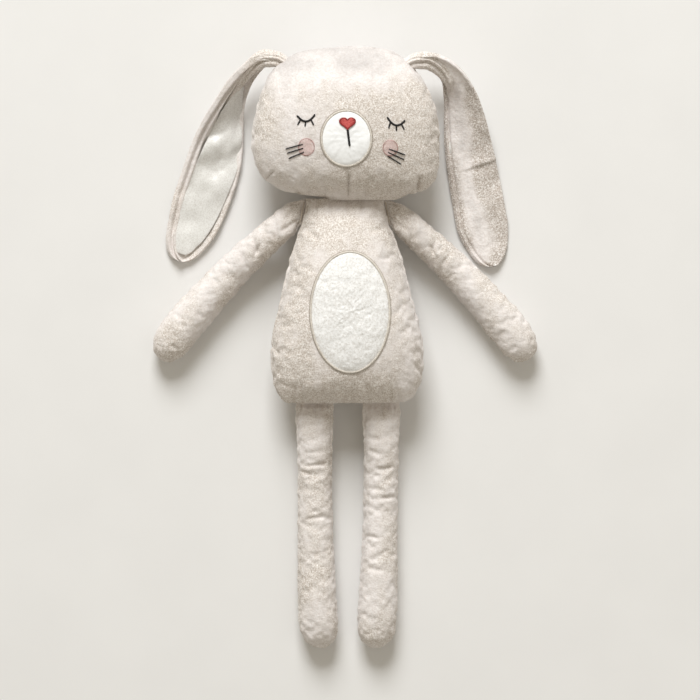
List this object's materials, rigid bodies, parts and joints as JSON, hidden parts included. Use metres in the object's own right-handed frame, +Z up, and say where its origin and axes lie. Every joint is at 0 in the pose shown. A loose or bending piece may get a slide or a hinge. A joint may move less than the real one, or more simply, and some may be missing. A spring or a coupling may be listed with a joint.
{
  "type": "stuffed toy bunny",
  "caption": "Long-legged stuffed plush bunny lying on its back, with hanging lined ears, an oval belly patch, an embroidered face and limbs that swing at their seams.",
  "frame": {"origin": "bottom centre of the whole toy as it lies on its back", "axes": "+Z up, out of the face and belly; +Y towards the top of the head; +X towards the bunny's own left"},
  "size_m": [0.2552, 0.4001, 0.0618],
  "materials": {
    "plush": "short pile, brushed, soft",
    "lining": "smooth, faint satin sheen",
    "terry_patch": "looped terry",
    "smooth_patch": "smooth short pile",
    "satin_border": "satin stitch",
    "red_thread": "embroidery thread",
    "black_thread": "embroidery thread",
    "pink_thread": "embroidery thread",
    "beige_thread": "sewing thread",
    "fibre_fill": "loose fibre, not seen"
  },
  "bodies": {
    "torso": {"belly_border": "satin_border", "belly_patch": "terry_patch", "closing_stitches": "beige_thread", "hip_seam_threads": "beige_thread", "neck_seam_thread": "beige_thread", "shoulder_seam_threads": "beige_thread", "torso_back_panel": "plush", "torso_front_panel": "plush", "torso_side_seam": "beige_thread", "torso_stuffing": "fibre_fill"},
    "head": {"cheek_left": "pink_thread", "cheek_right": "pink_thread", "eye_left": "black_thread", "eye_right": "black_thread", "head_back_panel": "plush", "head_darts": "beige_thread", "head_front_panel": "plush", "head_side_seam": "beige_thread", "head_stuffing": "fibre_fill", "mouth_line": "black_thread", "muzzle_border": "satin_border", "muzzle_patch": "smooth_patch", "nose_heart": "red_thread", "whiskers_left": "black_thread", "whiskers_right": "black_thread"},
    "ear_right_base": {"ear_right_root": "plush"},
    "ear_right": {"ear_right_lining": "lining", "ear_right_outer": "plush"},
    "ear_left_base": {"ear_left_root": "plush"},
    "ear_left": {"ear_left_lining": "lining", "ear_left_outer": "plush"},
    "arm_right": {"arm_right_back_panel": "plush", "arm_right_front_panel": "plush", "arm_right_side_seam": "beige_thread", "arm_right_stuffing": "fibre_fill"},
    "arm_left": {"arm_left_back_panel": "plush", "arm_left_front_panel": "plush", "arm_left_side_seam": "beige_thread", "arm_left_stuffing": "fibre_fill"},
    "leg_right": {"leg_right_back_panel": "plush", "leg_right_front_panel": "plush", "leg_right_side_seam": "beige_thread", "leg_right_stuffing": "fibre_fill"},
    "leg_left": {"leg_left_back_panel": "plush", "leg_left_front_panel": "plush", "leg_left_side_seam": "beige_thread", "leg_left_stuffing": "fibre_fill"}
  },
  "joints": [
    {"name": "neck_nod", "type": "hinge", "parent": "torso", "child": "head", "pos_m": [0.0008, 0.0988, 0.025], "axis": [1, 0, 0], "range_deg": [-10, 35]},
    {"name": "ear_right_lift", "type": "hinge", "parent": "head", "child": "ear_right_base", "pos_m": [-0.0407, 0.1899, 0.029], "axis": [0, 0, -1], "range_deg": [0, 35]},
    {"name": "ear_right_flap", "type": "hinge", "parent": "ear_right_base", "child": "ear_right", "pos_m": [-0.0546, 0.1916, 0.025], "axis": [-1, 0, 0], "range_deg": [0, 150]},
    {"name": "ear_left_lift", "type": "hinge", "parent": "head", "child": "ear_left_base", "pos_m": [0.0433, 0.1887, 0.029], "axis": [0, 0, 1], "range_deg": [0, 35]},
    {"name": "ear_left_flap", "type": "hinge", "parent": "ear_left_base", "child": "ear_left", "pos_m": [0.0587, 0.1902, 0.025], "axis": [-1, 0, 0], "range_deg": [0, 150]},
    {"name": "arm_right_swing", "type": "hinge", "parent": "torso", "child": "arm_right", "pos_m": [-0.0276, 0.09, 0.025], "axis": [0.1961, 0.9806, 0], "range_deg": [-40, 90]},
    {"name": "arm_left_swing", "type": "hinge", "parent": "torso", "child": "arm_left", "pos_m": [0.0292, 0.09, 0.025], "axis": [0.1961, -0.9806, 0], "range_deg": [-40, 90]},
    {"name": "leg_right_swing", "type": "hinge", "parent": "torso", "child": "leg_right", "pos_m": [-0.0193, -0.036, 0.025], "axis": [-1, 0, 0], "range_deg": [-70, 95]},
    {"name": "leg_left_swing", "type": "hinge", "parent": "torso", "child": "leg_left", "pos_m": [0.0253, -0.036, 0.025], "axis": [-1, 0, 0], "range_deg": [-70, 95]}
  ]
}
